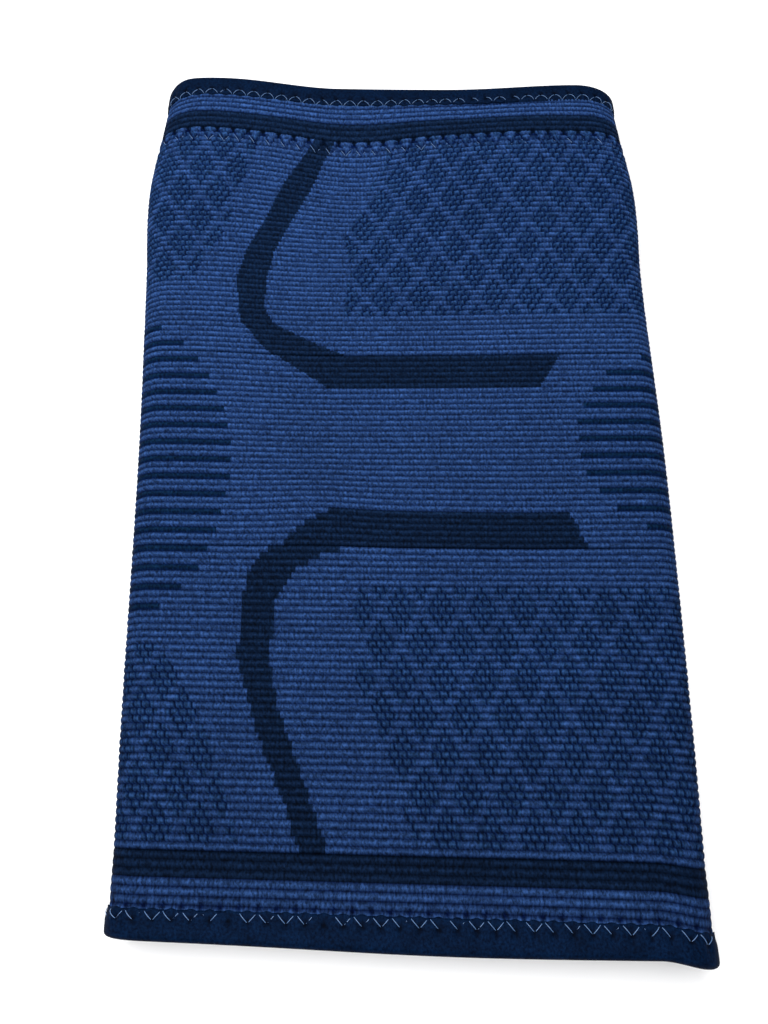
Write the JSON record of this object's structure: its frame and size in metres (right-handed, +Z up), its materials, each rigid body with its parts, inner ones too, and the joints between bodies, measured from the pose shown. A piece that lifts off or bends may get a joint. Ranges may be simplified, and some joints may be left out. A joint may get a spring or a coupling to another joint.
{
  "type": "knee sleeve",
  "caption": "Seamless elastic knitted knee sleeve lying flat, wider at the thigh, open at both ends, with bound rims.",
  "frame": {"origin": "on the surface that the sleeve lies on, under the middle of its box", "axes": "+Y along the sleeve towards the thigh end, +X across the flat width to the right, +Z up out of the surface"},
  "size_m": [0.1606, 0.2642, 0.0211],
  "materials": {
    "knit_cloth": "matt ribbed knit of blue nylon yarn over covered elastic, with navy bands and lines",
    "binding_tape": "dark navy folded elastic tape, fine and smooth, with a slight sheen"
  },
  "bodies": {
    "root": {"knit_tube": "knit_cloth", "upper_binding": "binding_tape", "lower_binding": "binding_tape"}
  },
  "joints": []
}
